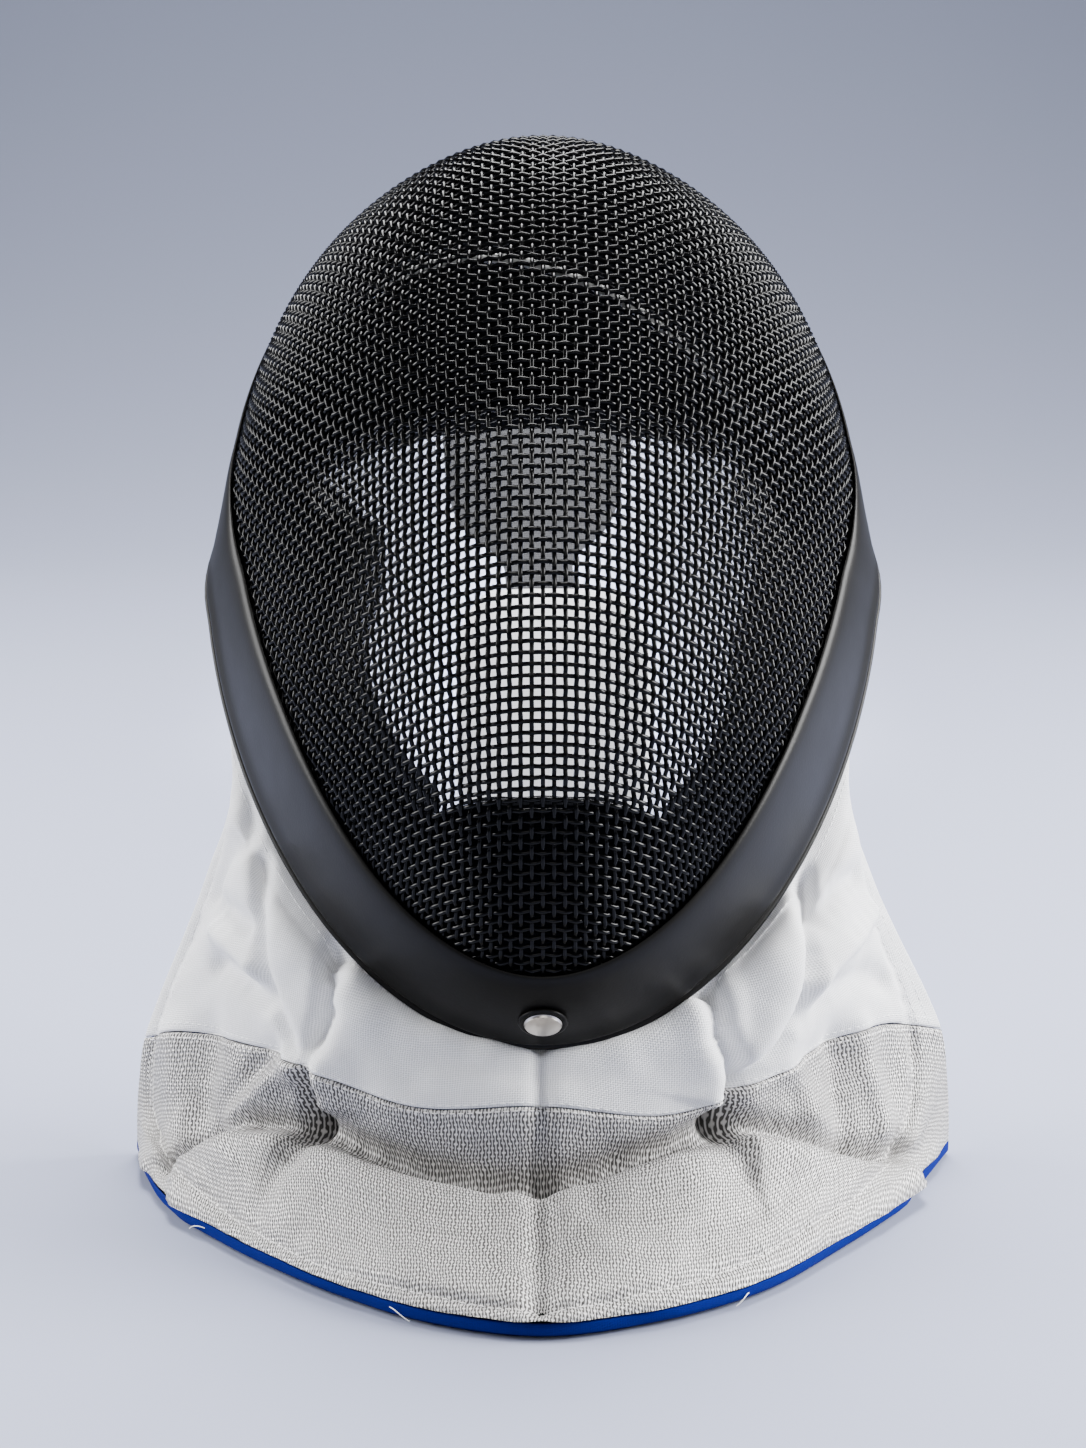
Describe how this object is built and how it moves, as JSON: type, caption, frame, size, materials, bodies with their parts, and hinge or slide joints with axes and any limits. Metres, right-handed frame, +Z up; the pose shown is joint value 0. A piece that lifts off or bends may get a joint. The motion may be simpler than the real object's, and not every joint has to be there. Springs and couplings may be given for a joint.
{
  "type": "fencing mask",
  "caption": "Head guard of woven wire with a rubber trim, inner pads, a sprung rear tongue and a padded throat bib that stands on its hem.",
  "frame": {"origin": "under the middle of the whole mask, on the surface that the bib's hem stands on", "axes": "+X across the mask from the viewer's left to right, +Y from the face to the back of the head, +Z up"},
  "size_m": [0.268, 0.2548, 0.3292],
  "materials": {
    "coated_wire": "gloss black coating over woven steel wire",
    "trim_rubber": "satin dark grey rubber",
    "pad_fabric": "matt near-black knit over foam",
    "white_fabric": "matt white fine-woven cloth",
    "silver_fabric": "silver-grey metallic weave",
    "blue_lining": "matt royal blue cloth",
    "grey_fabric": "matt grey knit over spring steel",
    "nickel": "satin nickel"
  },
  "bodies": {
    "root": {"wire_mesh": "coated_wire", "trim_band": "trim_rubber", "forehead_pad": "pad_fabric", "crown_pad": "pad_fabric", "cheek_pad_left": "pad_fabric", "cheek_pad_right": "pad_fabric", "chin_pad": "pad_fabric", "bib_white_panel": "white_fabric", "bib_silver_panel": "silver_fabric", "bib_lining": "blue_lining", "tongue_strap": "grey_fabric", "tongue_plate": "white_fabric", "chin_rivet": "nickel"}
  },
  "joints": []
}
